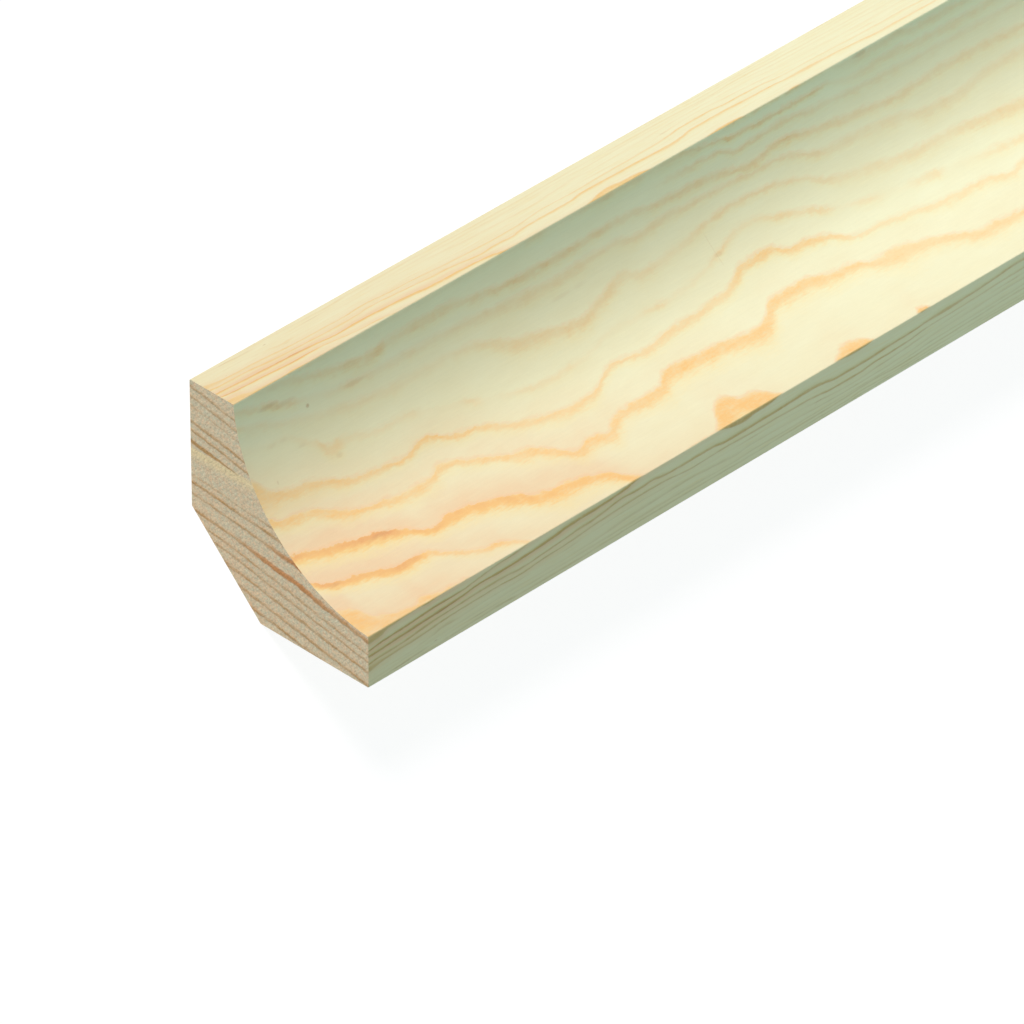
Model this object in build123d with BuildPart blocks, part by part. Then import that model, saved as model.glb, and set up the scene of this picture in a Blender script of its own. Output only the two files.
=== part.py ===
"""Scotia moulding: one length of planed softwood with a hollow, concave face.

The section starts as a square blank. A cutter takes the cove out of one corner, which leaves
a flat lip at each end of the hollow. The opposite corner, behind the cove, is bevelled away,
so that the two fixing faces seat in an uneven room corner. The long edges keep the fine
easing that the cutters leave, and both ends are cross-cut square and sharp.

On either fixing face the length is so nearly off balance that it tips over, so it is drawn
as it lies on a floor: on its bevel, with the cove facing up and a fixing face low on each
side.

Frame: X runs across the section, Y runs along the grain, and Z is up. The origin is in the
middle of the length, on the bevel, at the section's line of symmetry.
"""

import os
from math import sqrt

from build123d import *

# Driving dimensions, in millimetres
stock_length = 2400.0  # the length that the stock is sold in
section_size = 21.0  # width and height of the square blank
lip_width = 5.25  # flat lip at each end of the cove
cove_radius = 17.0  # radius of the hollow face
bevel_leg = 8.1  # each leg of the 45-degree bevel behind the cove
arris_radius = 0.1  # easing on the long edges

# The cove's centre lies on the blank's diagonal, just outside its corner, by a distance
# that lets the arc end exactly at the inner edge of each lip.
cove_span = section_size - lip_width
centre_overhang = (sqrt(2 * cove_radius**2 - cove_span**2) - cove_span) / 2
cove_centre = (section_size + centre_overhang, section_size + centre_overhang)

# The blank is drawn from its back corner, with one fixing face along each axis of the plane.
# The plane is turned by 45 degrees and sunk, so that the bevel lies level at height zero.
back_corner_depth = bevel_leg / sqrt(2)
section_plane = Plane(origin=(0, 0, -back_corner_depth), x_dir=(1, 0, 1), z_dir=(0, -1, 0))

with BuildPart() as scotia_moulding:
    with BuildSketch(section_plane) as section:
        Rectangle(section_size, section_size, align=(Align.MIN, Align.MIN))
        with Locations(cove_centre):
            Circle(cove_radius, mode=Mode.SUBTRACT)
        back_corner = section.vertices().sort_by_distance((0, 0, 0))[0]
        chamfer(back_corner, bevel_leg)
        fillet(section.vertices(), arris_radius)
    extrude(amount=stock_length / 2, both=True)

scotia_moulding.part.label = "scotia_moulding"

os.makedirs("parts", exist_ok=True)
export_step(scotia_moulding.part, "parts/scotia_moulding.step")

solid = scotia_moulding.part
centre = solid.center(CenterOf.MASS)
print(f"section area {solid.volume / stock_length:.1f} mm2, volume {solid.volume / 1000:.0f} cm3")
print(f"centre of mass {centre.X:.3f}, {centre.Y:.3f}, {centre.Z:.3f}")
print(f"overall size {solid.bounding_box().size}")
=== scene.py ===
import math

import bmesh
import bpy
import numpy as np
from mathutils import Euler, Matrix, Vector


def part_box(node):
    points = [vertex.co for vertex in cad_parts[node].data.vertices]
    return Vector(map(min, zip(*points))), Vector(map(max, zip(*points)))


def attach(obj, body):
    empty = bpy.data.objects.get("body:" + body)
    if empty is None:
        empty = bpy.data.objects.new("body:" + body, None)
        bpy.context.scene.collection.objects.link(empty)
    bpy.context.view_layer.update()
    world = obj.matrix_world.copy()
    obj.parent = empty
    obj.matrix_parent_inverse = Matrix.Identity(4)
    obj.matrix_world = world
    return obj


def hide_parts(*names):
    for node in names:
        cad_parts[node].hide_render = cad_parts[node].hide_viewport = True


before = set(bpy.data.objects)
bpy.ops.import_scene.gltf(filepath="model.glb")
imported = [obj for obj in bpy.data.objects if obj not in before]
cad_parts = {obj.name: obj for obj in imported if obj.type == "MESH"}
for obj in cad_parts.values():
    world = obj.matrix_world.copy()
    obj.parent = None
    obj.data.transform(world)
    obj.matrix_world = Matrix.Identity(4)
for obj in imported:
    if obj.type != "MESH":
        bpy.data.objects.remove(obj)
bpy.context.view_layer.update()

# A length of scotia moulding, lying on its bevel with the hollow face up.
# Blender units are metres; patterns on the wood are laid out in millimetres.

lowCorner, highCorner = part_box("scotia_moulding")
mm = 0.001

print("stage 1: settings, camera and light")

scene = bpy.context.scene
scene.view_settings.view_transform = "Standard"
scene.unit_settings.system = "METRIC"


# Camera

photoView = {
    "aim": (8.3 * mm, 28.1 * mm),  # across the middle line, and along from the near end
    "distance": 964.2 * mm,
    "azimuth": -0.54,  # degrees
    "elevation": 54.69,
    "roll": 60.32,  # the moulding is seen as it stands in a corner, turned from how it lies
    "lens": 397.5,  # long, so the edges look parallel
    "sensor": 36,
    "clip": (0.01, 60),
}


def addCamera(view):
    turn = Euler((math.radians(90 - view["elevation"]), 0, math.radians(view["azimuth"]))).to_matrix()
    aim = Vector((view["aim"][0], lowCorner[1] + view["aim"][1], 0))
    camera = bpy.data.objects.new("camera", bpy.data.cameras.new("camera"))
    scene.collection.objects.link(camera)
    place = aim + turn @ Vector((0, 0, view["distance"]))
    roll = Matrix.Rotation(math.radians(view["roll"]), 3, "Z")
    camera.matrix_world = Matrix.Translation(place) @ (turn @ roll).to_4x4()
    camera.data.lens = view["lens"]
    camera.data.sensor_width = view["sensor"]
    camera.data.clip_start, camera.data.clip_end = view["clip"]
    scene.camera = camera


addCamera(photoView)


# Light

studio = {
    "keyStrength": 2.68,
    "keyColour": (1.0, 0.86, 0.88),
    "keyAngle": 24,  # degrees; the wider, the softer its shadow
    "keyFrom": (-0.68, -0.17, 0.73),
    "keyDistance": 1.5,
    "fillColour": (0.235, 0.370, 0.368),
    "backdrop": (1, 1, 1),
}


def addLight(plan):
    lamp = bpy.data.lights.new("keyLight", "SUN")
    lamp.energy = plan["keyStrength"]
    lamp.color = plan["keyColour"]
    lamp.angle = math.radians(plan["keyAngle"])
    key = bpy.data.objects.new("keyLight", lamp)
    key.rotation_euler = Vector(plan["keyFrom"]).to_track_quat("Z", "Y").to_euler()
    key.location = Vector(plan["keyFrom"]) * plan["keyDistance"]
    scene.collection.objects.link(key)

    world = bpy.data.worlds.new("softFill")
    world.use_nodes = True
    scene.world = world
    tree = world.node_tree
    tree.nodes.clear()
    fill = tree.nodes.new("ShaderNodeBackground")
    fill.inputs["Color"].default_value = (*plan["fillColour"], 1)
    white = tree.nodes.new("ShaderNodeBackground")
    white.inputs["Color"].default_value = (*plan["backdrop"], 1)
    mixBySight(tree, fill, white, tree.nodes.new("ShaderNodeOutputWorld"))


def mixBySight(tree, unseen, seen, output):
    # the first shader lights the object; the camera, a reflection or a refraction sees the second
    path = tree.nodes.new("ShaderNodeLightPath")
    total = plus(tree, path.outputs["Is Camera Ray"], path.outputs["Is Glossy Ray"])
    total = mathNode(tree, "ADD", total, path.outputs["Is Transmission Ray"], clamp=True)
    mix = tree.nodes.new("ShaderNodeMixShader")
    for socket, source in zip(mix.inputs, (total, unseen.outputs[0], seen.outputs[0])):
        tree.links.new(source, socket)
    tree.links.new(mix.outputs[0], output.inputs["Surface"])


# Node helpers

def feed(tree, socket, value):
    if isinstance(value, bpy.types.NodeSocket):
        tree.links.new(value, socket)
    else:
        socket.default_value = value


def mathNode(tree, operation, *values, clamp=False):
    node = tree.nodes.new("ShaderNodeMath")
    node.operation = operation
    node.use_clamp = clamp
    for socket, value in zip(node.inputs, values):
        feed(tree, socket, value)
    return node.outputs[0]


def plus(tree, first, second):
    return mathNode(tree, "ADD", first, second)


def minus(tree, first, second):
    return mathNode(tree, "SUBTRACT", first, second)


def times(tree, first, second, clamp=False):
    return mathNode(tree, "MULTIPLY", first, second, clamp=clamp)


def over(tree, first, second, clamp=False):
    return mathNode(tree, "DIVIDE", first, second, clamp=clamp)


def timesPlus(tree, first, second, third, clamp=False):
    return mathNode(tree, "MULTIPLY_ADD", first, second, third, clamp=clamp)


def mapRange(tree, value, fromMin, fromMax, toMin=0.0, toMax=1.0, smooth=False):
    node = tree.nodes.new("ShaderNodeMapRange")
    node.interpolation_type = "SMOOTHSTEP" if smooth else "LINEAR"
    for name, number in (("Value", value), ("From Min", fromMin), ("From Max", fromMax), ("To Min", toMin),
                         ("To Max", toMax)):
        feed(tree, node.inputs[name], number)
    return node.outputs["Result"]


def mixColour(tree, factor, first, second, blend="MIX"):
    node = tree.nodes.new("ShaderNodeMix")
    node.data_type = "RGBA"
    node.blend_type = blend
    node.clamp_factor = True
    feed(tree, node.inputs["Factor"], factor)
    for name, colour in (("A", first), ("B", second)):
        socket = [s for s in node.inputs if s.name == name and s.type == "RGBA"][0]
        feed(tree, socket, colour if isinstance(colour, bpy.types.NodeSocket) else (*colour, 1))
    return [s for s in node.outputs if s.type == "RGBA"][0]


def floatCurve(tree, share, points, xSpan=1.0, ySpan=1.0):
    # a curve through listed points; its points are in real units, and what it takes and gives is a share of
    # their spans
    node = tree.nodes.new("ShaderNodeFloatCurve")
    node.inputs["Factor"].default_value = 1
    curve = node.mapping.curves[0]
    scaled = [(x / xSpan, y / ySpan) for x, y in points]
    curve.points[0].location = scaled[0]
    curve.points[1].location = scaled[-1]
    for x, y in scaled[1:-1]:
        curve.points.new(x, y)
    for point in curve.points:
        point.handle_type = "AUTO_CLAMPED"
    node.mapping.update()
    tree.links.new(share, node.inputs["Value"])
    return node.outputs[0]


def mixNumber(tree, factor, first, second):
    node = tree.nodes.new("ShaderNodeMix")
    node.data_type = "FLOAT"
    feed(tree, node.inputs["Factor"], factor)
    feed(tree, node.inputs["A"], first)
    feed(tree, node.inputs["B"], second)
    return node.outputs["Result"]


def noise(tree, vector, scale, detail=2.0, roughness=0.5):
    node = tree.nodes.new("ShaderNodeTexNoise")
    tree.links.new(vector, node.inputs["Vector"])
    node.inputs["Scale"].default_value = scale
    node.inputs["Detail"].default_value = detail
    node.inputs["Roughness"].default_value = roughness
    return minus(tree, node.outputs[0], 0.5)


def joinVector(tree, x, y, z=0.0):
    node = tree.nodes.new("ShaderNodeCombineXYZ")
    for socket, value in zip(node.inputs, (x, y, z)):
        feed(tree, socket, value)
    return node.outputs[0]


def streaks(tree, places, detail=2.0, roughness=0.5, scale=1.0):
    # noise over up to three values, each drawn out by a factor of its own where it has one
    drawn = [times(tree, *place) if isinstance(place, tuple) else place for place in places]
    return noise(tree, joinVector(tree, *drawn), scale, detail, roughness)


def shaded(tree, colour, shade):
    return mixColour(tree, 1.0, colour, joinVector(tree, shade, shade, shade), "MULTIPLY")


def newGroup(name, inputs, outputs, kinds={}):
    # a socket holds a plain number unless kinds says otherwise
    tree = bpy.data.node_groups.new(name, "ShaderNodeTree")
    for way, labels in (("INPUT", inputs), ("OUTPUT", outputs)):
        for label in labels:
            kind = kinds.get(label, "NodeSocketFloat")
            tree.interface.new_socket(label, in_out=way, socket_type=kind)
    return tree, tree.nodes.new("NodeGroupInput").outputs, tree.nodes.new("NodeGroupOutput")


def placeGroup(tree, group, **values):
    node = tree.nodes.new("ShaderNodeGroup")
    node.node_tree = group
    for name, value in values.items():
        feed(tree, node.inputs[name], value)
    return node.outputs


def giveOut(tree, result, values):
    for name, value in values.items():
        tree.links.new(value, result.inputs[name])


def emptyMaterial(name):
    material = bpy.data.materials.new(name)
    material.use_nodes = True
    material.node_tree.nodes.clear()
    return material, material.node_tree


addLight(studio)


# Floor

floorPlan = {
    "size": 14.0,
    "colour": (0.86, 0.86, 0.86),  # for the light that it throws back
    "seenColour": (0.15, 0.15, 0.15),  # how strongly the object's shadow shows on it
    "seenGlow": 0.91,  # lifts it to white
}


def addFloor(plan):
    bpy.ops.object.select_all(action="DESELECT")
    bpy.ops.mesh.primitive_plane_add(size=plan["size"])
    floor = bpy.context.object
    floor.name = "floor"
    material, tree = emptyMaterial("paleFloor")
    lit = tree.nodes.new("ShaderNodeBsdfDiffuse")
    lit.inputs["Color"].default_value = (*plan["colour"], 1)
    seen = tree.nodes.new("ShaderNodeBsdfDiffuse")
    seen.inputs["Color"].default_value = (*plan["seenColour"], 1)
    glow = tree.nodes.new("ShaderNodeEmission")
    glow.inputs["Strength"].default_value = plan["seenGlow"]
    lifted = tree.nodes.new("ShaderNodeAddShader")
    tree.links.new(seen.outputs[0], lifted.inputs[0])
    tree.links.new(glow.outputs[0], lifted.inputs[1])
    mixBySight(tree, lit, lifted, tree.nodes.new("ShaderNodeOutputMaterial"))
    floor.data.materials.append(material)
    return floor


floor = addFloor(floorPlan)


# Moulding

print("stage 2: moulding")

moulding = {
    "section": 21.0 * mm,  # width and height of the square blank
    "lip": 5.25 * mm,
    "coveRadius": 17.0 * mm,
    "bevelLeg": 8.1 * mm,
    "arris": 0.1 * mm,  # radius of the eased long edges
    "coveSides": 360,  # sides of a full turn of the cutter
    "cutterSpare": 1.1,  # how many times the length the cutter reaches
    "leastFold": 20,  # degrees at an edge that is eased
    "close": 0.5 * mm,  # how near the bevel an edge lies to count as its own
    "slack": 0.01 * mm,  # how far outside the cove's radius a face still belongs to it
}


def coveCentreHeight(plan):
    span = plan["section"] - plan["lip"]
    overhang = (math.sqrt(2 * plan["coveRadius"] ** 2 - span ** 2) - span) / 2
    return (2 * (plan["section"] + overhang) - plan["bevelLeg"]) / math.sqrt(2)


def makeMoulding(plan):
    length = highCorner[1] - lowCorner[1]
    middle = (highCorner[1] + lowCorner[1]) / 2
    bpy.ops.object.select_all(action="DESELECT")
    blankHeight = (plan["section"] - plan["bevelLeg"]) / math.sqrt(2)
    bpy.ops.mesh.primitive_cube_add(
        size=1, location=(0, middle, blankHeight), rotation=(0, math.radians(45), 0),
        scale=(plan["section"], length, plan["section"]))
    piece = bpy.context.object
    piece.name = "planedMoulding"
    bpy.ops.object.transform_apply(location=True, rotation=True, scale=True)

    # the bevel behind the cove
    bpy.ops.object.mode_set(mode="EDIT")
    bpy.ops.mesh.select_all(action="SELECT")
    bpy.ops.mesh.bisect(plane_co=(0, 0, 0), plane_no=(0, 0, 1), use_fill=True, clear_inner=True)
    bpy.ops.object.mode_set(mode="OBJECT")

    # the cove
    bpy.ops.object.select_all(action="DESELECT")
    bpy.ops.mesh.primitive_cylinder_add(
        vertices=plan["coveSides"], radius=plan["coveRadius"], depth=length * plan["cutterSpare"],
        location=(0, middle, coveCentreHeight(plan)), rotation=(math.radians(90), 0, 0))
    cutter = bpy.context.object
    bpy.ops.object.select_all(action="DESELECT")
    piece.select_set(True)
    bpy.context.view_layer.objects.active = piece
    cut = piece.modifiers.new("cove", "BOOLEAN")
    cut.operation = "DIFFERENCE"
    cut.solver = "EXACT"
    cut.object = cutter
    bpy.ops.object.modifier_apply(modifier=cut.name)
    bpy.data.objects.remove(cutter, do_unlink=True)
    return piece


piece = makeMoulding(moulding)


def easeLongEdges(piece, plan):
    # square corners and the two blunter corners of the bevel take the same radius
    bevelHalf = plan["bevelLeg"] / math.sqrt(2)
    for blunt in (False, True):
        bpy.ops.object.mode_set(mode="EDIT")
        bpy.ops.mesh.select_mode(type="EDGE")
        bpy.ops.mesh.select_all(action="DESELECT")
        mesh = bmesh.from_edit_mesh(piece.data)
        for edge in mesh.edges:
            if len(edge.link_faces) != 2:
                continue
            a, b = (v.co for v in edge.verts)
            alongGrain = abs(b.y - a.y) > 0.5 * (b - a).length
            sharp = edge.calc_face_angle(0) > math.radians(plan["leastFold"])
            atBevel = a.z < plan["close"] and abs(abs(a.x) - bevelHalf) < plan["close"]
            edge.select_set(alongGrain and sharp and atBevel == blunt)
        bmesh.update_edit_mesh(piece.data)
        offset = plan["arris"] * (math.tan(math.radians(45 / 2)) if blunt else 1)
        bpy.ops.mesh.bevel(offset=offset, offset_type="OFFSET", segments=4, profile=0.5, affect="EDGES")
        bpy.ops.object.mode_set(mode="OBJECT")


easeLongEdges(piece, moulding)


def crossCut(piece, places):
    # rings of edges along the length, for the bake's map
    bpy.ops.object.mode_set(mode="EDIT")
    for place in places:
        bpy.ops.mesh.select_all(action="SELECT")
        bpy.ops.mesh.bisect(plane_co=(0, place, 0), plane_no=(0, 1, 0))
    bpy.ops.mesh.select_all(action="SELECT")
    bpy.ops.mesh.remove_doubles(threshold=0.001 * mm)
    bpy.ops.mesh.normals_make_consistent(inside=False)
    bpy.ops.object.mode_set(mode="OBJECT")


nearEnd = lowCorner[1]

# The map that the patterns are baked through: the part in view is drawn finely, and the rest in strips.
bakeMap = {
    "side": 1024.0,  # px
    "fine": 7.7,  # px for each mm
    "coarse": 1.97,
    "fineLength": 100.0,  # mm from the near end
    "stripLength": 480.0,
    "strips": 5,
    "gap": 3.0,  # px
    "low": 0.5,  # mm, the height of the point from which the outline is followed
    "onEnd": 0.001,  # mm, within which a corner counts as on the near end
    "tiny": 0.0001,  # radians
}
stripStarts = [bakeMap["fineLength"] + i * bakeMap["stripLength"] for i in range(bakeMap["strips"])]
crossCut(piece, [nearEnd + start * mm for start in stripStarts])
smoothBelow = 5  # degrees between faces
bpy.ops.object.shade_smooth_by_angle(angle=math.radians(smoothBelow))


def isEnd(face):
    return abs(face.normal.y) > 0.9


def addBakeMap(piece, plan, shape):
    mesh = piece.data
    places = np.array([v.co for v in mesh.vertices]) / mm
    along = places[:, 1] - nearEnd / mm
    # the outline from the left outer edge over the hollow and back under the bevel, as seen from a low point
    # inside the section, and how far round it each corner lies
    seam = (shape["section"] - shape["arris"]) / mm
    seamX, seamZ = -seam / math.sqrt(2), (seam - shape["bevelLeg"] / mm) / math.sqrt(2)
    seamTurn = math.atan2(seamZ - plan["low"], seamX)
    turns = seamTurn - np.arctan2(places[:, 2] - plan["low"], places[:, 0])
    turns = (turns + plan["tiny"]) % (2 * math.pi)
    atEnd = np.flatnonzero(along < plan["onEnd"])
    atEnd = atEnd[np.argsort(turns[atEnd])]
    outline = places[atEnd][:, [0, 2]]
    steps = np.linalg.norm(np.roll(outline, -1, axis=0) - outline, axis=1)
    runs = np.concatenate([[0], np.cumsum(steps)])
    nearest = np.linalg.norm(places[:, None, [0, 2]] - outline[None], axis=2).argmin(1)
    otherSeam = np.linalg.norm(outline - [-seamX, seamZ], axis=1).argmin()
    seen, hidden = runs[otherSeam], runs[-1] - runs[otherSeam]

    gap, fine, coarse = plan["gap"], plan["fine"], plan["coarse"]
    seenFoot = 2 * gap + seen * fine
    hiddenFoot = seenFoot + plan["strips"] * (seen * coarse + gap)
    afterLast = 2 * gap + (along.max() - stripStarts[-1]) * coarse
    width, height = np.ptp(outline, axis=0)
    layer = mesh.uv_layers.new(name="OFBake")
    for face in mesh.polygons:
        corners = np.array(face.vertices)
        if isEnd(face):
            x = 2 * gap + plan["fineLength"] * fine + (places[corners, 0] + width / 2) * fine
            y = gap + places[corners, 2] * fine + (face.center.y > 0) * (height * fine + gap)
        else:
            middle = face.center.y / mm - nearEnd / mm
            strip = int((middle - plan["fineLength"]) // plan["stripLength"])
            start = stripStarts[strip] if strip >= 0 else 0
            pastSeam = turns[corners].max() > turns[atEnd[otherSeam]] + plan["tiny"]
            under = pastSeam or (nearest[corners] == 0).all()
            y = runs[nearest[corners]]
            if under:
                y = np.where(nearest[corners] == 0, runs[-1], y) - seen
            scale = coarse if under or strip >= 0 else fine
            x, y = gap + (along[corners] - start) * scale, y * scale
            if under:
                y += hiddenFoot + (strip if strip >= 0 else plan["strips"] - 1) * (hidden * coarse + gap)
                x += afterLast if strip < 0 else 0
            else:
                y += seenFoot + strip * (seen * coarse + gap) if strip >= 0 else gap
        for loop, u, v in zip(face.loop_indices, x, y):
            layer.data[loop].uv = (u / plan["side"], v / plan["side"])
    top = hiddenFoot + plan["strips"] * (hidden * coarse + gap)
    print(f"bake map: {seen:.2f} mm seen, {hidden:.2f} mm hidden, {top:.0f} of {plan['side']:.0f} px high")


addBakeMap(piece, bakeMap, moulding)
print("moulding has", len(piece.data.polygons), "faces")


# Growth rings

print("stage 3: wood")

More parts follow.
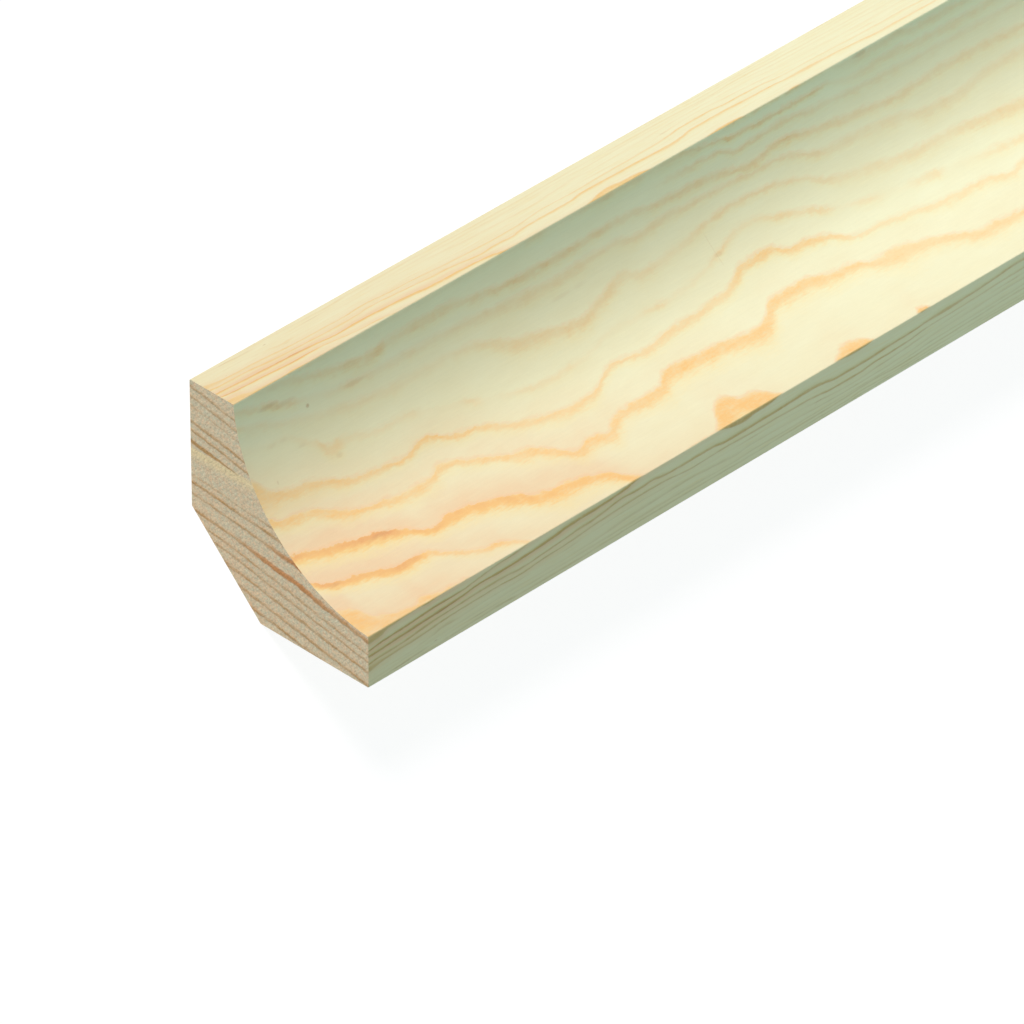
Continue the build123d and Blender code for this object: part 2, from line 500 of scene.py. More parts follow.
# One entry for each dark line that a ring leaves on the hollow face, from the lit lip down. A path is the
# middle of the line: (along from the near end, down the arc from the lit lip), in mm. Its width and its
# strength change along it; a strength above 1 has a brown core.
ringLines = [{
    "path": [(0, -1.5), (3, 0), (15, 0.2), (35, 0.2), (52, 0.3), (58, 1.1), (60, 1.5), (71, 1.5),
             (74.5, 2.2), (80, 2.0), (82.5, 2.4), (100, 2.5)],
    "width": [(0, 0.77), (52, 0.77), (58, 0.4), (71, 0.4), (76, 0.77), (100, 0.77)],
    "strength": [(0, 0.33), (3, 0.41), (8, 0.25), (33, 0.16), (36, 0.41), (38, 0.16), (42, 0.41),
                 (47, 0.49), (50, 0.25), (52, 0.45), (56, 0.5), (60, 0.7), (70, 0.65), (72.5, 0.2),
                 (77, 0.37), (84, 0.41), (100, 0.33)],
}, {
    "path": [(0, -0.9), (5, 0.1), (15, 1.2), (45, 1.6), (53, 2.0), (58, 2.2), (60, 2.9), (65, 2.6),
             (70, 3.1), (76, 3.5), (90, 3.8), (100, 3.9)],
    "width": [(0, 0.5), (60, 0.5), (75, 0.65), (100, 0.7)],
    "strength": [(0, 0), (49, 0.04), (53, 0.4), (58, 0.6), (62, 0.55), (68, 0.45), (72, 0.3), (76, 0.35),
                 (82, 0.25), (100, 0.25)],
}, {
    "path": [(0, -0.3), (5, 0.5), (8, 1.3), (13.5, 2.4), (16, 2.6), (18, 2.2), (24, 2.2), (29, 2.9),
             (37, 3.3), (45, 3.1), (50, 3.6), (57, 4.0), (61.5, 4.8), (64.5, 4.2), (69, 4.9), (74, 5.5),
             (80, 6.0), (84, 5.7), (100, 6.3)],
    "width": [(0, 0.77), (14, 0.85), (16, 0.95), (19, 0.7), (23, 0.95), (27, 0.77), (40, 0.77), (55, 0.6),
              (64, 0.6), (70, 0.65), (80, 0.7), (100, 0.77)],
    "strength": [(0, 0.08), (6, 0.33), (11, 0.45), (13.5, 0.62), (16.5, 0.65), (18.2, 0.4), (21, 0.45),
                 (22.5, 0.6), (24.5, 0.55), (27, 0.45), (31, 0.6), (40, 0.6), (45, 0.45), (50, 0.5),
                 (56, 0.55), (60.5, 0.6), (64, 0.7), (69, 0.5), (76, 0.42), (86, 0.45), (100, 0.37)],
}, {
    "path": [(0, 1.0), (3.5, 1.9), (6.8, 3.0), (13, 4.0), (25, 4.4), (31, 4.9), (37, 5.2), (44, 4.8),
             (46.5, 5.4), (50, 5.1), (58, 5.3), (65, 5.7), (68.5, 6.9), (74, 7.3), (79, 7.9), (82, 8.6),
             (86, 8.6), (90, 8.0), (100, 8.3)],
    "width": [(0, 0.68), (10, 0.6), (25, 0.77), (33, 1.02), (40, 0.85), (50, 0.7), (57, 0.5), (68, 0.55),
              (77, 0.94), (86, 0.94), (92, 0.77), (100, 0.77)],
    "strength": [(0, 0.33), (2.5, 0.41), (4, 0.65), (6.5, 0.41), (9, 0.12), (12, 0.29), (13.3, 0.53),
                 (14.5, 0.29), (22, 0.29), (27, 0.37), (34, 0.45), (40, 0.41), (44, 0.33), (48, 0.45),
                 (50, 0.33), (57, 0.5), (66, 0.5), (72, 0.33), (76, 0.34), (80, 0.36), (85, 0.36),
                 (88, 0.3), (100, 0.3)],
}, {
    "path": [(0, 2.5), (3, 3.5), (9, 5.2), (15, 6.1), (26, 6.5), (28.5, 7.3), (30.5, 8.3), (33, 8.7),
             (38, 9.5), (40, 9.0), (42.5, 8.2), (44, 7.8), (46, 8.5), (52, 7.9), (54.5, 7.4), (58, 7.1),
             (65, 7.9), (69, 9.6), (73, 10.3), (77, 11.0), (84, 11.3), (90, 12.0), (100, 12.5)],
    "width": [(0, 0.77), (14, 0.85), (26, 0.77), (31, 1.28), (38, 1.1), (44, 1.02), (48, 0.94), (53, 0.6),
              (57, 0.5), (66, 0.5), (74, 1.02), (80, 0.85), (90, 1.02), (100, 0.85)],
    "strength": [(0, 0.29), (3, 0.25), (9, 0.2), (14, 0.25), (20, 0.16), (26, 0.29), (28.5, 0.41),
                 (30.5, 0.49), (36, 0.5), (40.5, 0.5), (44, 0.45), (47, 0.37), (51, 0.25), (56, 0.45),
                 (62, 0.45), (67, 0.35), (72, 0.3), (78, 0.35), (82, 0.29), (84.5, 0.41), (87, 0.41),
                 (90, 0.57), (100, 0.41)],
}, {
    "path": [(0, 4.6), (3, 5.3), (5, 5.5), (6.5, 6.5), (7.7, 7.3), (9.2, 8.3), (10.5, 8.1), (13.5, 8.8),
             (17, 8.9), (22, 10.1), (27, 11.5), (32.5, 12.4), (37.5, 12.1), (40, 11.4), (46.5, 11.5),
             (52.5, 10.8), (54.5, 10.1), (59, 9.1), (61, 9.8), (64, 10.5), (67.5, 11.7), (71, 12.6),
             (79, 13.6), (89, 14.7), (100, 15.5)],
    "width": [(0, 0.8), (6, 0.8), (9, 1.1), (11, 0.8), (25, 0.6), (60, 0.55), (80, 0.7), (100, 0.77)],
    "strength": [(0, 0.05), (6, 0.12), (7.6, 0.22), (9.3, 0.55), (10.6, 0.18), (17.5, 0.22), (19.5, 0.04),
                 (22.5, 0.04), (24, 0.3), (25.5, 0.04), (30, 0.25), (34, 0.25), (37, 0.08), (44, 0.12),
                 (46, 0.4), (47.5, 0.12), (52, 0.16), (54.2, 0.37), (58, 0.2), (62.5, 0.45), (67, 0.4),
                 (68.5, 0.08), (71, 0.25), (74, 0.04), (79, 0.3), (81, 0.04), (88.5, 0.37), (100, 0.25)],
}, {
    "path": [(0, 8.4), (0.6, 8.8), (1.2, 9.2), (2.5, 9.6), (5.8, 10.1), (8.8, 11.2), (12.5, 11.8),
             (15.3, 12.0), (17.5, 11.5), (20.5, 12.4), (23.8, 13.0), (25.1, 13.6), (28.8, 14.8), (33, 15.5),
             (35.5, 15.3), (37.5, 14.3), (39.1, 13.9), (41.5, 14.4), (46, 14.0), (52.5, 13.6), (54.5, 13.0),
             (56.1, 12.2), (59.5, 12.2), (61, 12.9), (65.5, 13.6), (67.8, 14.8), (72.5, 15.2), (78.5, 16.2),
             (84, 16.5), (86, 17.0), (88, 16.6), (100, 17.5)],
    "width": [(0, 3.2), (0.6, 2.6), (1.2, 1.8), (2.5, 1.1), (6, 1.0), (10, 0.7), (17, 0.6), (22, 0.7),
              (28, 0.9), (34, 0.9), (37, 0.6), (45, 0.8), (51, 0.8), (57, 0.8), (66, 0.7), (68, 0.5),
              (72, 0.5), (79, 0.8), (90, 0.7), (100, 0.8)],
    "strength": [(0, 0.75), (2, 0.6), (6, 0.65), (12, 0.6), (17, 0.76), (22, 0.68), (27, 0.52), (32, 0.6),
                 (36, 0.58), (40, 0.55), (46, 0.5), (52, 0.5), (57, 0.72), (61, 0.72), (66, 0.62),
                 (68.5, 0.4), (72, 0.36), (79, 0.4), (84, 0.45), (88, 0.35), (100, 0.45)],
}, {
    "path": [(0, 11.0), (1.1, 11.6), (4.1, 12.1), (6.8, 13.4), (8.8, 14.0), (14.8, 14.8), (16.5, 14.7),
             (17.6, 14.2), (20.8, 15.0), (24.5, 16.5), (26.5, 17.0), (28.1, 17.9), (30.5, 19.2),
             (31.6, 18.8), (32.8, 18.9), (33.8, 19.4), (34.8, 18.7), (36.5, 18.1), (41, 18.1), (42.8, 17.2),
             (48, 17.4), (53.5, 18.1), (55.1, 17.3), (56.8, 16.3), (60.5, 16.3), (62.5, 16.8), (66.5, 17.3),
             (67.8, 17.9), (72.5, 18.4), (76.5, 19.5), (78.5, 20.4), (84, 20.7), (100, 22)],
    "width": [(0, 0.9), (5, 1.0), (9.5, 0.7), (14, 1.0), (20, 0.8), (23, 0.8), (26, 1.2), (29, 1.1),
              (31, 1.1), (34, 1.3), (36, 1.0), (40, 1.3), (45, 1.45), (50, 1.5), (53, 1.75), (55, 1.3),
              (60, 1.35), (66, 1.1), (69, 1.5), (70.5, 1.9), (72.5, 1.5), (76, 1.1), (79, 1.4), (84, 1.0),
              (100, 1.0)],
    "strength": [(0, 0.85), (4, 0.7), (9.5, 0.8), (14, 0.65), (17.5, 0.65), (21, 0.65), (26, 0.7),
                 (30, 0.75), (36, 0.68), (45, 0.84), (52, 0.78), (58, 0.75), (62, 0.75), (66, 0.7),
                 (70, 0.58), (74, 0.6), (79, 0.6), (100, 0.55)],
}, {
    "path": [(0, 14.6), (1.8, 15.1), (5.8, 16.1), (9.8, 17.0), (11.1, 17.5), (13.5, 18.6), (15.1, 18.4),
             (19.1, 19.0), (21.8, 20.0), (24.5, 21.3), (27.5, 21.6), (30.5, 22.7), (31.6, 24), (35, 26),
             (41.8, 25.5), (43.8, 23.3), (45.2, 22.8), (46.4, 23.7), (47.8, 23.9), (49.6, 25.6), (53, 27.5),
             (57.1, 25.3), (58.7, 24.5), (60.5, 25.0), (62, 26.4), (66.3, 25.6), (67.4, 24.6), (68.6, 25.4),
             (75, 27), (85, 27.5), (100, 28)],
    "width": [(0, 1.1), (6, 1.25), (10, 1.1), (12, 0.9), (13.5, 0.8), (15, 1.1), (19, 1.35), (22.5, 1.6),
              (26, 1.7), (28.5, 1.5), (30.5, 1.6), (33, 2), (41.5, 3.5), (62, 3.5), (66, 2.2), (75, 1.6),
              (100, 1.3)],
    "strength": [(0, 1.2), (3, 1.12), (5, 1.2), (9.5, 1.35), (11, 1.12), (13, 1.12), (14.5, 1.08),
                 (19, 1.08), (24, 1.02), (30, 0.95), (45, 0.92), (60, 0.95), (67.5, 1.05), (80, 0.8),
                 (100, 0.75)],
}, {
    "path": [(0, 17.4), (1.1, 18.1), (4.8, 19.1), (8.8, 20.1), (10.8, 20.1), (12.1, 20.8), (15.1, 22.5),
             (17.5, 23.1), (19, 24.3), (22, 26), (30, 28), (45, 29), (60, 29.5), (75, 31), (100, 33)],
    "width": [(0, 0.7), (2, 0.85), (6, 1.1), (9, 0.95), (11.5, 0.8), (18.5, 0.7), (30, 1.2), (100, 1.2)],
    "strength": [(0, 1.1), (1.8, 1.25), (4, 1.1), (6, 1.1), (9, 1.25), (10.5, 1), (12, 0.7), (15, 0.6),
                 (17, 0.8), (18.5, 0.5), (25, 0.7), (100, 0.75)],
}, {
    "path": [(0, 22.1), (1.2, 22.5), (1.8, 23.3), (2.6, 24.6), (4, 24.2), (6, 24.4), (7, 23.9), (8, 24.4),
             (11.5, 24.7), (14, 25.8), (20, 28.5), (30, 31), (60, 33), (75, 34), (100, 36)],
    "width": [(0, 4.0), (2.6, 4.0), (4, 1.4), (12, 1.2), (30, 1.2), (100, 1.2)],
    "strength": [(0, 0.88), (3, 0.75), (8, 0.78), (12, 0.65), (100, 0.65)],
}]

grain = {
    "length": 100.0,  # the lines are drawn over this length
    "topSpacing": 1.5,  # between the rings above the first line
    "lowSpacing": 3.3,  # between the rings below the last one
    "rise": 4.0,  # added while a path is drawn, as a curve node holds no number below zero
    "pathSpan": 40.0,
    "widthSpan": 4.0,
    "strengthSpan": 2.0,
    "jag": 0.36,  # how far a line's edge strays over a few mm
    "feather": 0.32,  # and over a fraction of one
    "farWave": 9.0,  # how far the rings wander over the rest of the length
    "farStart": (86, 150),  # where that begins, and where it is in full
    "lead": 0.4,  # how much of a line's width lies above its path
}


def ringGroup(plan):
    # for a place on the wood's face: how far it lies below the last dark line, in line widths, and above the
    # next one, in mm, with their strengths
    tree, given, result = newGroup("growth rings", ["Along", "Across", "Spread", "Faint"],
                                   ["Below", "Above", "Strength", "Next Strength", "Ring"])
    along, across, spread = given["Along"], given["Across"], given["Spread"]
    jag = streaks(tree, [(along, 0.5), across])
    feather = streaks(tree, [(along, 1.5), (across, 2.2)], 3.0, 0.65)
    farOff = mapRange(tree, along, *plan["farStart"], smooth=True)
    slow = streaks(tree, [(along, 0.011), (across, 0.02), 4.0], 2.5)
    quick = streaks(tree, [(along, 0.06), (across, 0.05), 9.0])
    wander = timesPlus(tree, slow, plan["farWave"] * 2, times(tree, quick, 3.0))
    place = timesPlus(tree, wander, farOff, across)
    place = timesPlus(tree, jag, plan["jag"] * 2, place)
    place = timesPlus(tree, feather, plan["feather"] * 2, place)

    share = over(tree, along, plan["length"], clamp=True)
    edges, widths, strengths = [], [], []
    for line in ringLines:
        raised = [(x, y + plan["rise"]) for x, y in line["path"]]
        middle = floatCurve(tree, share, raised, plan["length"], plan["pathSpan"] + plan["rise"])
        width = floatCurve(tree, share, line["width"], plan["length"], plan["widthSpan"])
        width = times(tree, width, spread)
        middle = timesPlus(tree, middle, plan["pathSpan"] + plan["rise"], -plan["rise"])
        edges.append(timesPlus(tree, width, -plan["lead"] * plan["widthSpan"], middle))
        widths.append(width)
        strengths.append(floatCurve(tree, share, line["strength"], plan["length"], plan["strengthSpan"]))

    # evenly spaced rings above the first line and below the last
    up = mathNode(tree, "CEIL", over(tree, minus(tree, edges[0], place), plan["topSpacing"]))
    down = mathNode(tree, "FLOOR", over(tree, minus(tree, place, edges[-1]), plan["lowSpacing"]))
    down = mathNode(tree, "MAXIMUM", down, 0.0)
    lowest = timesPlus(tree, down, plan["lowSpacing"], edges[-1])

    last = timesPlus(tree, up, -plan["topSpacing"], edges[0])
    following = plus(tree, last, plan["topSpacing"])
    width, strength, nextStrength = widths[0], strengths[0], strengths[0]
    ring = times(tree, up, -1.0)
    count = len(ringLines)
    for i in range(count):
        passed = mathNode(tree, "GREATER_THAN", place, edges[i])
        final = i == count - 1
        last = mixNumber(tree, passed, last, lowest if final else edges[i])
        after = plus(tree, lowest, plan["lowSpacing"]) if final else edges[i + 1]
        following = mixNumber(tree, passed, following, after)
        width = mixNumber(tree, passed, width, widths[i])
        strength = mixNumber(tree, passed, strength, strengths[i])
        nextStrength = mixNumber(tree, passed, nextStrength, strengths[min(i + 1, count - 1)])
        ring = plus(tree, ring, passed) if i else mixNumber(tree, passed, ring, 1.0)
    ring = plus(tree, ring, down)

    # over the rest of the length, each line comes and goes
    def varied(value, offset):
        lineNumber = plus(tree, ring, offset)
        far = streaks(tree, [(along, 0.02), (lineNumber, 3.7)])
        near = streaks(tree, [(along, 0.6), (lineNumber, 2.9), 7.0], 3.0)
        broken = mapRange(tree, lineNumber, 6.0, 7.0, 1.5, 0.4)
        change = timesPlus(tree, plus(tree, times(tree, far, 2.4), 0.25), farOff, 1.0)
        change = timesPlus(tree, near, broken, change)
        faint = mapRange(tree, lineNumber, 5.0, 7.0, given["Faint"], 1.0)
        return times(tree, times(tree, value, faint), mathNode(tree, "MAXIMUM", change, 0.1))

    width = times(tree, width, plan["widthSpan"])
    giveOut(tree, result, {
        "Below": over(tree, minus(tree, place, last), width),
        "Above": minus(tree, following, place),
        "Strength": times(tree, varied(strength, 0.0), plan["strengthSpan"]),
        "Next Strength": times(tree, varied(nextStrength, 1.0), plan["strengthSpan"]),
        "Ring": ring,
    })
    return tree


# Small dark flecks on the hollow face: (along, down the arc, half length, half height, strength), in mm.
flecks = [(3.7, 1.95, 1.1, 0.25, 0.3), (5.4, 2.4, 1.4, 0.25, 0.16), (7.9, 3.75, 0.2, 0.2, 0.6),
          (13.3, 4.0, 1.2, 0.25, 0.15), (2.5, 8.4, 0.10, 0.2, 0.25), (37.0, 6.55, 1.2, 0.2, 0.12),
          (39.3, 6.5, 0.8, 0.2, 0.08), (54.3, 10.2, 0.5, 0.22, 0.2), (9.4, 8.95, 0.4, 0.25, 0.18),
          (3.2, 5.35, 0.6, 0.22, 0.1), (4.5, 5.4, 0.5, 0.2, 0.1), (6.2, 6.6, 0.5, 0.2, 0.12),
          (8.6, 16.5, 1.4, 0.2, 0.2), (1.8, 18.3, 0.9, 0.2, 0.2), (75.6, 0.35, 0.9, 0.3, 0.3)]

# A cutter's scratch across the grain, from one (along, down) to the other, in mm.
scratch = {"start": (53.75, 7.8), "end": (54.35, 11.6), "halfWidth": 0.07, "strength": 0.16}


def fleckGroup():
    tree, given, result = newGroup("flecks", ["Along", "Across"], ["Dark"])
    along, across = given["Along"], given["Across"]
    ragged = streaks(tree, [(along, 4.0), (across, 6.0)])
    total = 0.0
    for place, down, halfLength, halfHeight, strength in flecks:
        x = over(tree, minus(tree, along, place), halfLength)
        y = over(tree, minus(tree, across, down), halfHeight)
        reach = timesPlus(tree, x, x, times(tree, y, y))
        reach = timesPlus(tree, ragged, 1.2, reach)
        total = plus(tree, total, mapRange(tree, reach, 1.6, -0.2, 0.0, strength, smooth=True))
    (startAlong, startDown), (endAlong, endDown) = scratch["start"], scratch["end"]
    slope = (endAlong - startAlong) / (endDown - startDown)
    off = minus(tree, along, timesPlus(tree, across, slope, startAlong - slope * startDown))
    nick = mapRange(tree, mathNode(tree, "ABSOLUTE", off), scratch["halfWidth"], 0.0, 0.0, scratch["strength"])
    ends = mapRange(tree, mathNode(tree, "ABSOLUTE", minus(tree, across, (startDown + endDown) / 2)),
                    (endDown - startDown) / 2, (endDown - startDown) / 3)
    total = timesPlus(tree, nick, ends, total)
    giveOut(tree, result, {"Dark": total})
    return tree


# How a line darkens and fades: (line widths below its upper edge, darkness). It reaches two widths down.
lineReach = 2.0
lineProfile = [(0, 0.55), (0.12, 0.88), (0.28, 1.0), (0.6, 0.93), (0.9, 0.65), (1.2, 0.38), (1.6, 0.17), (2, 0)]
coreProfile = [(0, 0.3), (0.12, 1.0), (0.35, 0.75), (0.6, 0.2), (0.9, 0), (2, 0)]

# How pink the wood above a line is: (mm above it, pinkness), and how strong that is along the length.
blushReach = 4.0
blushProfile = [(0, 1.0), (0.7, 0.95), (1.6, 0.65), (2.6, 0.3), (4, 0)]
blushAlong = [(0, 1.0), (8, 1.0), (14, 0.8), (22, 0.8), (30, 0.75), (35, 0.4), (44, 0.18), (100, 0.15)]

# How warm the pale wood is towards the near end: (along, warmth).
warmthAlong = [(0, 0.75), (10, 0.7), (24, 0.75), (34, 0.45), (45, 0.15), (60, 0.05), (75, 0.0), (100, 0.2)]

pineColours = {
    "pale": (0.862, 0.838, 0.583),
    "deeper": (0.845, 0.795, 0.525),
    "warm": (0.830, 0.715, 0.475),
    "pink": (0.845, 0.635, 0.400),
    "rose": (0.880, 0.580, 0.330),
    "latewood": (0.900, 0.565, 0.225),
    "brown": (0.830, 0.598, 0.300),
    "amber": (0.908, 0.745, 0.365),
    "core": (0.780, 0.390, 0.165),
    "fleck": (0.55, 0.35, 0.17),
}


def woodGroup(colours):
    # the planed faces' colour, roughness and relief
    rings = ringGroup(grain)
    tree, given, result = newGroup(
        "planed pine", ["Along", "Across", "Spread", "Side", "Warmth", "Threads", "Faint"],
        ["Colour", "Roughness", "Height", "Line"], {"Colour": "NodeSocketColor"})
    along, across = given["Along"], given["Across"]
    spread, side = given["Spread"], given["Side"]
    found = placeGroup(tree, rings, Along=along, Across=across, Spread=spread, Faint=given["Faint"])
    below, above = found["Below"], found["Above"]
    strength, nextStrength = found["Strength"], found["Next Strength"]
    grit = streaks(tree, [(along, 3.0), (side, 4.0)], 3.0, 0.65)
    fibre = streaks(tree, [(along, 0.3), (side, 5.0)], 3.0, 0.65)
    cloud = streaks(tree, [(along, 0.16), (across, 0.4)], 3.0, 0.6)

    # the lower side of a line frays out along the grain
    fray = streaks(tree, [(along, 0.9), (across, 4.5)], 3.0, 0.65)
    frayed = timesPlus(tree, fray, mathNode(tree, "MINIMUM", below, 1.2), below)
    share = over(tree, frayed, lineReach, clamp=True)
    body = times(tree, floatCurve(tree, share, lineProfile, lineReach), strength)
    edge = mapRange(tree, above, times(tree, spread, 0.42), 0.0, 0.0, lineProfile[0][1], smooth=True)
    edge = times(tree, edge, nextStrength)
    mottle = streaks(tree, [(along, 0.7), (side, 1.7), 2.0], 3.0, 0.6)
    line = mathNode(tree, "MAXIMUM", body, edge)
    line = times(tree, line, timesPlus(tree, mottle, 0.9, 1.0))
    line = times(tree, line, timesPlus(tree, grit, 0.75, 1.0))
    core = floatCurve(tree, share, coreProfile, lineReach)
    core = times(tree, core, mapRange(tree, strength, 1.0, 1.4))
    core = times(tree, core, timesPlus(tree, grit, 1.2, 1.0), clamp=True)

    blush = floatCurve(tree, over(tree, above, blushReach, clamp=True), blushProfile, blushReach)
    blush = times(tree, blush, mathNode(tree, "MINIMUM", nextStrength, 1.0))
    shareAlong = over(tree, along, grain["length"], clamp=True)
    blush = times(tree, blush, floatCurve(tree, shareAlong, blushAlong, grain["length"]))
    blush = times(tree, blush, timesPlus(tree, cloud, 1.2, 1.0))
    blush = times(tree, blush, mapRange(tree, found["Ring"], 5.0, 7.5, 0.1, 1.0))

    colour = mixColour(tree, timesPlus(tree, cloud, 1.7, 0.42), colours["pale"], colours["deeper"])
    warm = times(tree, floatCurve(tree, shareAlong, warmthAlong, grain["length"]), given["Warmth"])
    warm = times(tree, warm, timesPlus(tree, cloud, 1.5, 1.0))
    colour = mixColour(tree, warm, colour, colours["warm"])
    colour = mixColour(tree, blush, colour, colours["pink"])
    late = mixColour(tree, mapRange(tree, found["Ring"], 4.5, 6.8), colours["brown"], colours["latewood"])
    late = mixColour(tree, mapRange(tree, frayed, 0.5, 1.2), late, colours["amber"])
    late = mixColour(tree, mathNode(tree, "GREATER_THAN", edge, body), late, colours["rose"])
    colour = mixColour(tree, mathNode(tree, "MINIMUM", line, 1.0), colour, late)
    colour = mixColour(tree, core, colour, colours["core"])
    dots = placeGroup(tree, fleckGroup(), Along=along, Across=across)
    colour = mixColour(tree, dots["Dark"], colour, colours["fleck"])
    threads = mapRange(tree, fibre, 0.02, 0.3, 0.0, given["Threads"])
    colour = mixColour(tree, threads, colour, colours["amber"])
    shade = timesPlus(tree, fibre, -0.07, timesPlus(tree, grit, 0.035, 1.0))
    colour = shaded(tree, colour, shade)
    roughness = timesPlus(tree, line, -0.10, timesPlus(tree, fibre, 0.12, 0.62))
    height = timesPlus(tree, line, 0.6, times(tree, fibre, 0.5))
    giveOut(tree, result, {"Colour": colour, "Roughness": roughness, "Height": height, "Line": line})
    return tree


def sectionGroup(plan):
    # where a point lies on the moulding, in mm: along the grain, round the cove, and from each fixing face
    tree, given, result = newGroup("section place", ["Position"], ["Along", "Arc", "From Left", "From Right"],
                                   {"Position": "NodeSocketVector"})
    split = tree.nodes.new("ShaderNodeSeparateXYZ")
    tree.links.new(given["Position"], split.inputs[0])
    x, y, z = (over(tree, split.outputs[axis], mm) for axis in "XYZ")
    depth = timesPlus(tree, z, math.sqrt(2), plan["bevelLeg"] / mm)
    lean = times(tree, x, math.sqrt(2))
    centreHeight = coveCentreHeight(plan) / mm
    radius = plan["coveRadius"] / mm
    half = math.asin((plan["section"] - plan["lip"]) / math.sqrt(2) / plan["coveRadius"])
    angle = mathNode(tree, "ARCTAN2", x, minus(tree, centreHeight, z))
    giveOut(tree, result, {
        "Along": minus(tree, y, nearEnd / mm),
        "Arc": timesPlus(tree, angle, radius, radius * half),
        "From Left": times(tree, plus(tree, depth, lean), 0.5),
        "From Right": times(tree, minus(tree, depth, lean), 0.5),
    })
    return tree, 2 * radius * half


sectionPlace, arcLength = sectionGroup(moulding)
planedPine = woodGroup(pineColours)
print(f"the cove's arc is {arcLength:.2f} mm long")


def placeOnMoulding(tree):
    where = tree.nodes.new("ShaderNodeTexCoord")
    return placeGroup(tree, sectionPlace, Position=where.outputs["Object"])


def woodMaterial(name, placeFrom, paintedLightFrom, spread=1.0, threads=0.0, faint=1.0, relief=0.02 * mm):
    # spread widens the lines, threads adds fine straight grain, and faint weakens the rings near the lit lip
    material, tree = emptyMaterial(name)
    section = placeOnMoulding(tree)
    across, side, warmth = placeFrom(tree, section)
    wood = placeGroup(tree, planedPine, Along=section["Along"], Across=across, Side=side, Warmth=warmth,
                      Spread=spread, Threads=threads, Faint=faint)
    # the faces' painted light and shade, multiplied over the wood's colour
    paintedTone = paintedLightFrom(tree, section, wood["Line"])
    colour = mixColour(tree, 1.0, wood["Colour"], paintedTone, "MULTIPLY")
    share = over(tree, section["Along"], grain["length"], clamp=True)
    tint = mixColour(tree, floatCurve(tree, share, paleAlong, grain["length"]), nearTint, awayTint)
    colour = mixColour(tree, 1.0, colour, tint, "MULTIPLY")
    finishWood(material, colour, wood["Roughness"], wood["Height"], relief)
    return material


def finishWood(material, colour, roughness, height, relief, specular=0.3):
    tree = material.node_tree
    bump = tree.nodes.new("ShaderNodeBump")
    bump.inputs["Distance"].default_value = relief
    tree.links.new(height, bump.inputs["Height"])
    shader = tree.nodes.new("ShaderNodeBsdfPrincipled")
    shader.inputs["Specular IOR Level"].default_value = specular
    tree.links.new(colour, shader.inputs["Base Color"])
    tree.links.new(roughness, shader.inputs["Roughness"])
    tree.links.new(bump.outputs[0], shader.inputs["Normal"])
    output = tree.nodes.new("ShaderNodeOutputMaterial")
    tree.links.new(shader.outputs[0], output.inputs["Surface"])


# Painted light and shade over the hollow: darker a few mm down and at its foot, and brightest just past the
# middle. A tint is laid with it, partly the wood's own and partly painted shade: cool at the top, where the
# hollow lies in shade, and warm lower down. (down the arc in mm, tone or warmth).
hollowPaintedTones = [(0, 1.04), (2, 1.01), (4, 0.96), (7, 0.975), (10.5, 1.03), (12.2, 1.055), (14, 1.08), (17, 1.04),
               (20.5, 0.97), (24.3, 0.925)]
hollowWarmthAndShade = [(0, 0), (3, 0.2), (7, 0.75), (10.5, 0.8), (12.2, 0.75), (16, 0.6), (24.3, 0.6)]
toneSpan = 2.0
coolShadeTint = (0.985, 1.02, 1.06)
warmTint = (1.045, 1.0, 0.95)
footWarmth = {"from": 12.0, "to": 20.0, "most": 0.6}  # low in the hollow, towards the near end
lipWarmth = 0.35
# Painted light and shade on the lips: the lit lip is painted darker, and the one in shade brighter and redder.
# The lines on the lip in shade are painted a darker brown than those on the lit one.
litLipPaintedTone = (0.897, 0.890, 0.851)
litLipPaintedLineTone = (0.85, 0.90, 0.90)
shadedLipPaintedTone = (1.078, 1.02, 0.99)
shadedLipPaintedLineTone = (0.72, 0.77, 0.71)

# The wood is also deeper towards the near end, and paler away from it: (along, paleness).
nearTint = (0.965, 0.940, 0.925)
awayTint = (1.040, 1.050, 1.060)
paleAlong = [(0, 0), (45, 0.45), (85, 1.0), (100, 1.0)]


def placeOnHollow(tree, section):
    arc = section["Arc"]
    return arc, arc, mapRange(tree, arc, footWarmth["from"], footWarmth["to"], 0.0, footWarmth["most"],
                              smooth=True)


# painted light and shade over the hollow, with its painted shade tint, to be laid over the wood's colour
def paintedLightOfHollow(tree, section, line):
    foot = hollowPaintedTones[-1][0]
    share = over(tree, section["Arc"], foot, clamp=True)
    paintedTone = times(tree, floatCurve(tree, share, hollowPaintedTones, foot, toneSpan), toneSpan)
    warmth = floatCurve(tree, share, hollowWarmthAndShade, foot)
    return shaded(tree, mixColour(tree, warmth, coolShadeTint, warmTint), paintedTone)


def placeOnLip(tree, section):
    # a lip shows the same rings as the hollow face, cut square and so much closer together
    near = mathNode(tree, "MINIMUM", section["From Left"], section["From Right"])
    return times(tree, near, arcLength / (moulding["lip"] / mm)), near, lipWarmth


# painted light and shade: each lip, and the lines on it, take the tone of their own side, lit or in shade
def paintedLightOfLip(tree, section, line):
    isLit = mathNode(tree, "LESS_THAN", section["From Left"], section["From Right"])
    paintedLineTone = mixColour(tree, isLit, shadedLipPaintedLineTone, litLipPaintedLineTone)
    return mixColour(tree, line, mixColour(tree, isLit, shadedLipPaintedTone, litLipPaintedTone), paintedLineTone)


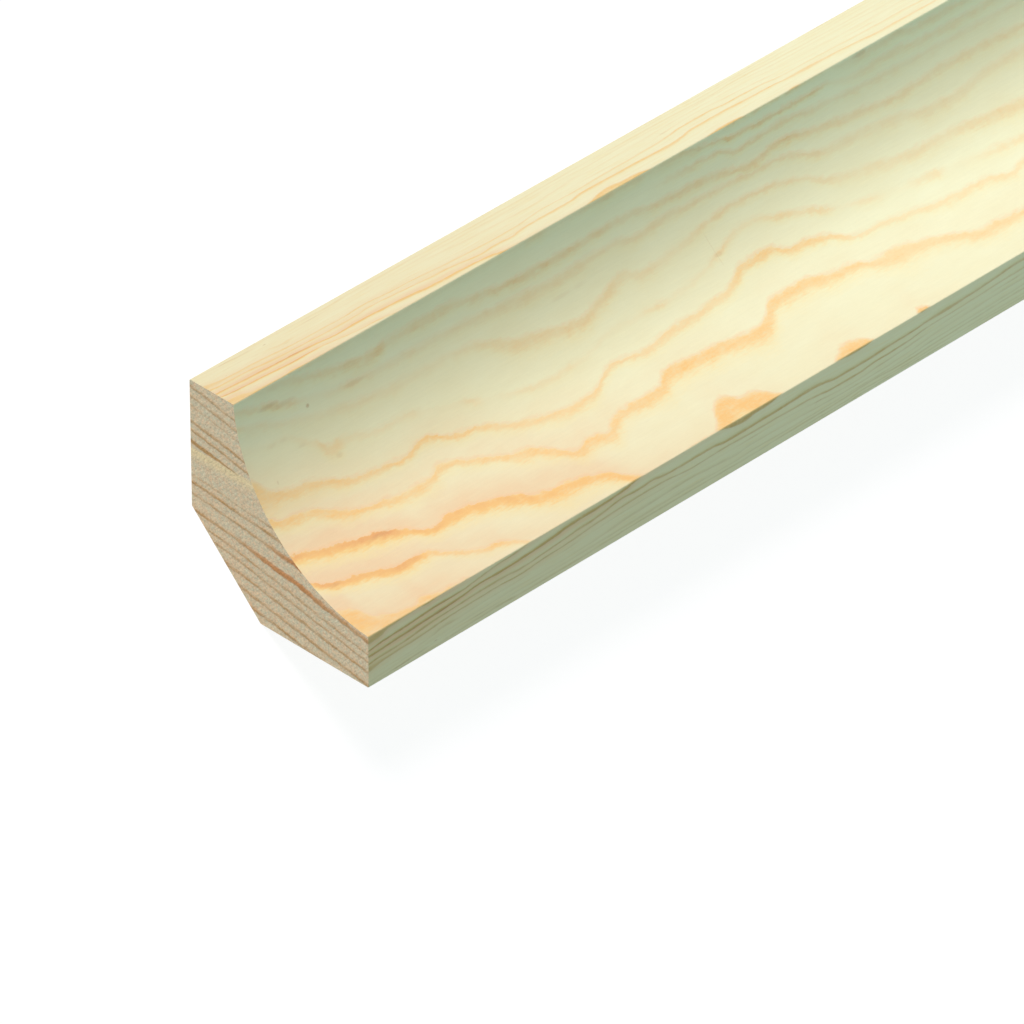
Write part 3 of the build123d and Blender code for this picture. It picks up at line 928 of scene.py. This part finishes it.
# Rings on the cut end and, carried along the grain, on the back: (height, width, strength). The height is taken
# up the left fixing face, in mm; the rings fall to the right.
endRings = [(21.9, 0.25, 0.4), (20.37, 0.26, 0.7), (19.35, 0.26, 0.6), (18.4, 0.2, 0.35), (16.85, 0.28, 0.95),
            (15.95, 0.28, 0.85), (13.0, 0.2, 0.15), (11.4, 0.22, 0.45), (10.62, 0.30, 1.0), (9.45, 0.26, 0.75),
            (7.9, 0.30, 0.9), (6.8, 0.24, 0.7), (6.02, 0.24, 0.7), (4.88, 0.30, 0.9), (3.55, 0.30, 0.9),
            (2.35, 0.28, 0.85), (1.2, 0.30, 0.7)]
endFall = 0.16  # how far the rings fall, for each mm to the right
endRise = 0.95  # mm, how much less the middle ones have fallen 12 mm to the right

# Where a ring turns a redder brown towards the right: (height, right from, right to).
stainedRings = [(7.95, 5.0, 9.5), (9.45, 8.5, 12.0)]

# One dark ring runs out to a point, with a pale band under it.
darkRing = {"height": 14.78, "width": 0.42, "run": 6.0}
paleBand = {"top": 14.15, "foot": 13.2}


def endRingGroup():
    tree, given, result = newGroup("end rings", ["Height", "Change"], ["Line"])
    height, change = given["Height"], given["Change"]
    total = 0.0
    for middle, width, strength in endRings:
        off = over(tree, minus(tree, height, middle), width)
        # soft above and sharp below
        shape = floatCurve(tree, timesPlus(tree, off, 0.25, 0.5, clamp=True),
                           [(0, 0), (0.30, 0.05), (0.38, 0.8), (0.5, 1.0), (0.62, 0.5), (0.8, 0.1), (1, 0)])
        total = timesPlus(tree, shape, strength, total)
    giveOut(tree, result, {"Line": times(tree, total, change)})
    return tree


endRingLines = endRingGroup()


def backMaterial():
    # the fixing faces and the bevel, with the end's rings running down their length
    material, tree = emptyMaterial("backFaces")
    section = placeOnMoulding(tree)
    along, right, up = section["Along"], section["From Left"], section["From Right"]
    slow = streaks(tree, [(along, 0.006), (right, 0.03)])
    quick = streaks(tree, [(along, 0.05), (right, 0.25), up], 3.0, 0.6)
    height = timesPlus(tree, right, endFall, up)
    height = timesPlus(tree, slow, 5.0, height)
    height = timesPlus(tree, quick, 1.1, height)
    # fold the height back, so that rings also cross the parts where it runs past the end's own
    height = mathNode(tree, "PINGPONG", height, 22.0)
    patchy = streaks(tree, [(along, 0.08), height])
    lines = placeGroup(tree, endRingLines, Height=height, Change=timesPlus(tree, patchy, 1.2, 0.75))
    fibre = streaks(tree, [(along, 0.35), (right, 7.0), (up, 7.0)], 3.0, 0.6)
    cloud = streaks(tree, [(along, 0.1), right, up], 3.0, 0.6, 0.4)
    colour = mixColour(tree, timesPlus(tree, cloud, 1.7, 0.45), pineColours["pale"], pineColours["deeper"])
    colour = mixColour(tree, lines["Line"], colour, pineColours["latewood"])
    shade = timesPlus(tree, fibre, 0.10, 0.97)
    colour = shaded(tree, colour, shade)
    roughness = timesPlus(tree, fibre, 0.15, 0.66)
    relief = timesPlus(tree, lines["Line"], 0.5, times(tree, fibre, 0.6))
    finishWood(material, colour, roughness, relief, 0.03 * mm)
    return material


endColours = {
    "ground": (0.880, 0.620, 0.400),
    "cool": (0.755, 0.665, 0.480),
    "ring": (0.60, 0.345, 0.155),
    "stain": (0.66, 0.265, 0.090),
    "darkRing": (0.58, 0.33, 0.14),
    "pale": (0.96, 0.74, 0.44),
}


def endMaterial(colours):
    material, tree = emptyMaterial("sawnEnd")
    section = placeOnMoulding(tree)
    right, up = section["From Left"], section["From Right"]
    flat = joinVector(tree, right, up, times(tree, section["Along"], 0.01))
    sway = noise(tree, flat, 0.22)
    jag = noise(tree, flat, 1.6)
    height = timesPlus(tree, right, endFall, up)
    flatter = times(tree, mapRange(tree, up, 4.0, 9.6), mapRange(tree, up, 15.0, 13.0, smooth=True))
    flatter = times(tree, flatter, mapRange(tree, right, 0.0, 12.0))
    height = timesPlus(tree, flatter, -endRise, height)
    height = timesPlus(tree, sway, 0.4, height)
    height = timesPlus(tree, jag, 0.35, height)
    patchy = streaks(tree, [(right, 0.5), height, 3.0])
    lines = placeGroup(tree, endRingLines, Height=height, Change=timesPlus(tree, patchy, 1.6, 0.85))

    # saw marks lean up to the right, over a fine speckle of cut fibres
    across = minus(tree, right, up)
    downStroke = plus(tree, right, up)
    saw = streaks(tree, [(across, 4.0), (downStroke, 0.7)], 3.0, 0.7)
    speck = noise(tree, flat, 4.2, 2.0, 0.8)
    tint = streaks(tree, [right, up, 11.0], 3.0, 0.75, 2.6)

    colour = mixColour(tree, timesPlus(tree, tint, 3.4, 0.45, clamp=True), colours["ground"], colours["cool"])
    inBand = times(tree, mapRange(tree, up, paleBand["foot"] - 0.4, paleBand["foot"] + 0.5),
                   mapRange(tree, up, paleBand["top"] + 0.1, paleBand["top"] - 0.1))
    colour = mixColour(tree, times(tree, inBand, 0.9), colour, colours["pale"])
    colour = mixColour(tree, lines["Line"], colour, colours["ring"])
    for middle, start, end in stainedRings:
        off = mathNode(tree, "ABSOLUTE", minus(tree, height, middle))
        stained = times(tree, mapRange(tree, off, 0.34, 0.12, smooth=True),
                        mapRange(tree, right, start, end, 0.0, 0.8))
        stained = times(tree, stained, mapRange(tree, right, end + 4.0, end + 8.0, 1.0, 0.35))
        colour = mixColour(tree, stained, colour, colours["stain"])
    shrink = mapRange(tree, right, 2.0, darkRing["run"], 1.0, 0.0)
    thick = times(tree, shrink, darkRing["width"] / 2)
    off = mathNode(tree, "ABSOLUTE", minus(tree, height, darkRing["height"]))
    dark = mapRange(tree, minus(tree, off, thick), 0.12, -0.08, smooth=True)
    dark = times(tree, dark, mapRange(tree, right, darkRing["run"], darkRing["run"] - 1.0))
    colour = mixColour(tree, dark, colour, colours["darkRing"])
    shade = timesPlus(tree, speck, 0.9, timesPlus(tree, saw, 0.75, 1.0))
    colour = shaded(tree, colour, shade)
    relief = timesPlus(tree, saw, 0.8, plus(tree, speck, lines["Line"]))
    roughness = timesPlus(tree, speck, 0.2, 0.85)
    finishWood(material, colour, roughness, relief, 0.05 * mm, 0.2)
    return material


def dressFaces(piece, plan):
    slots = {
        "hollowFace": woodMaterial("hollowFace", placeOnHollow, paintedLightOfHollow),
        "lipFaces": woodMaterial("lipFaces", placeOnLip, paintedLightOfLip, 0.95, 0.5, 0.6),
        "backFaces": backMaterial(),
        "sawnEnd": endMaterial(endColours),
    }
    piece.data.materials.clear()
    for material in slots.values():
        piece.data.materials.append(material)
    names = list(slots)
    centre = Vector((0, 0, coveCentreHeight(plan)))
    for face in piece.data.polygons:
        middle = Vector((face.center.x, 0, face.center.z))
        if isEnd(face):
            kind = "sawnEnd"
        elif (middle - centre).length < plan["coveRadius"] + plan["slack"]:
            kind = "hollowFace"
        elif face.normal.z > -0.01:
            kind = "lipFaces"
        else:
            kind = "backFaces"
        face.material_index = names.index(kind)


dressFaces(piece, moulding)

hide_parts("scotia_moulding")
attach(piece, "root")
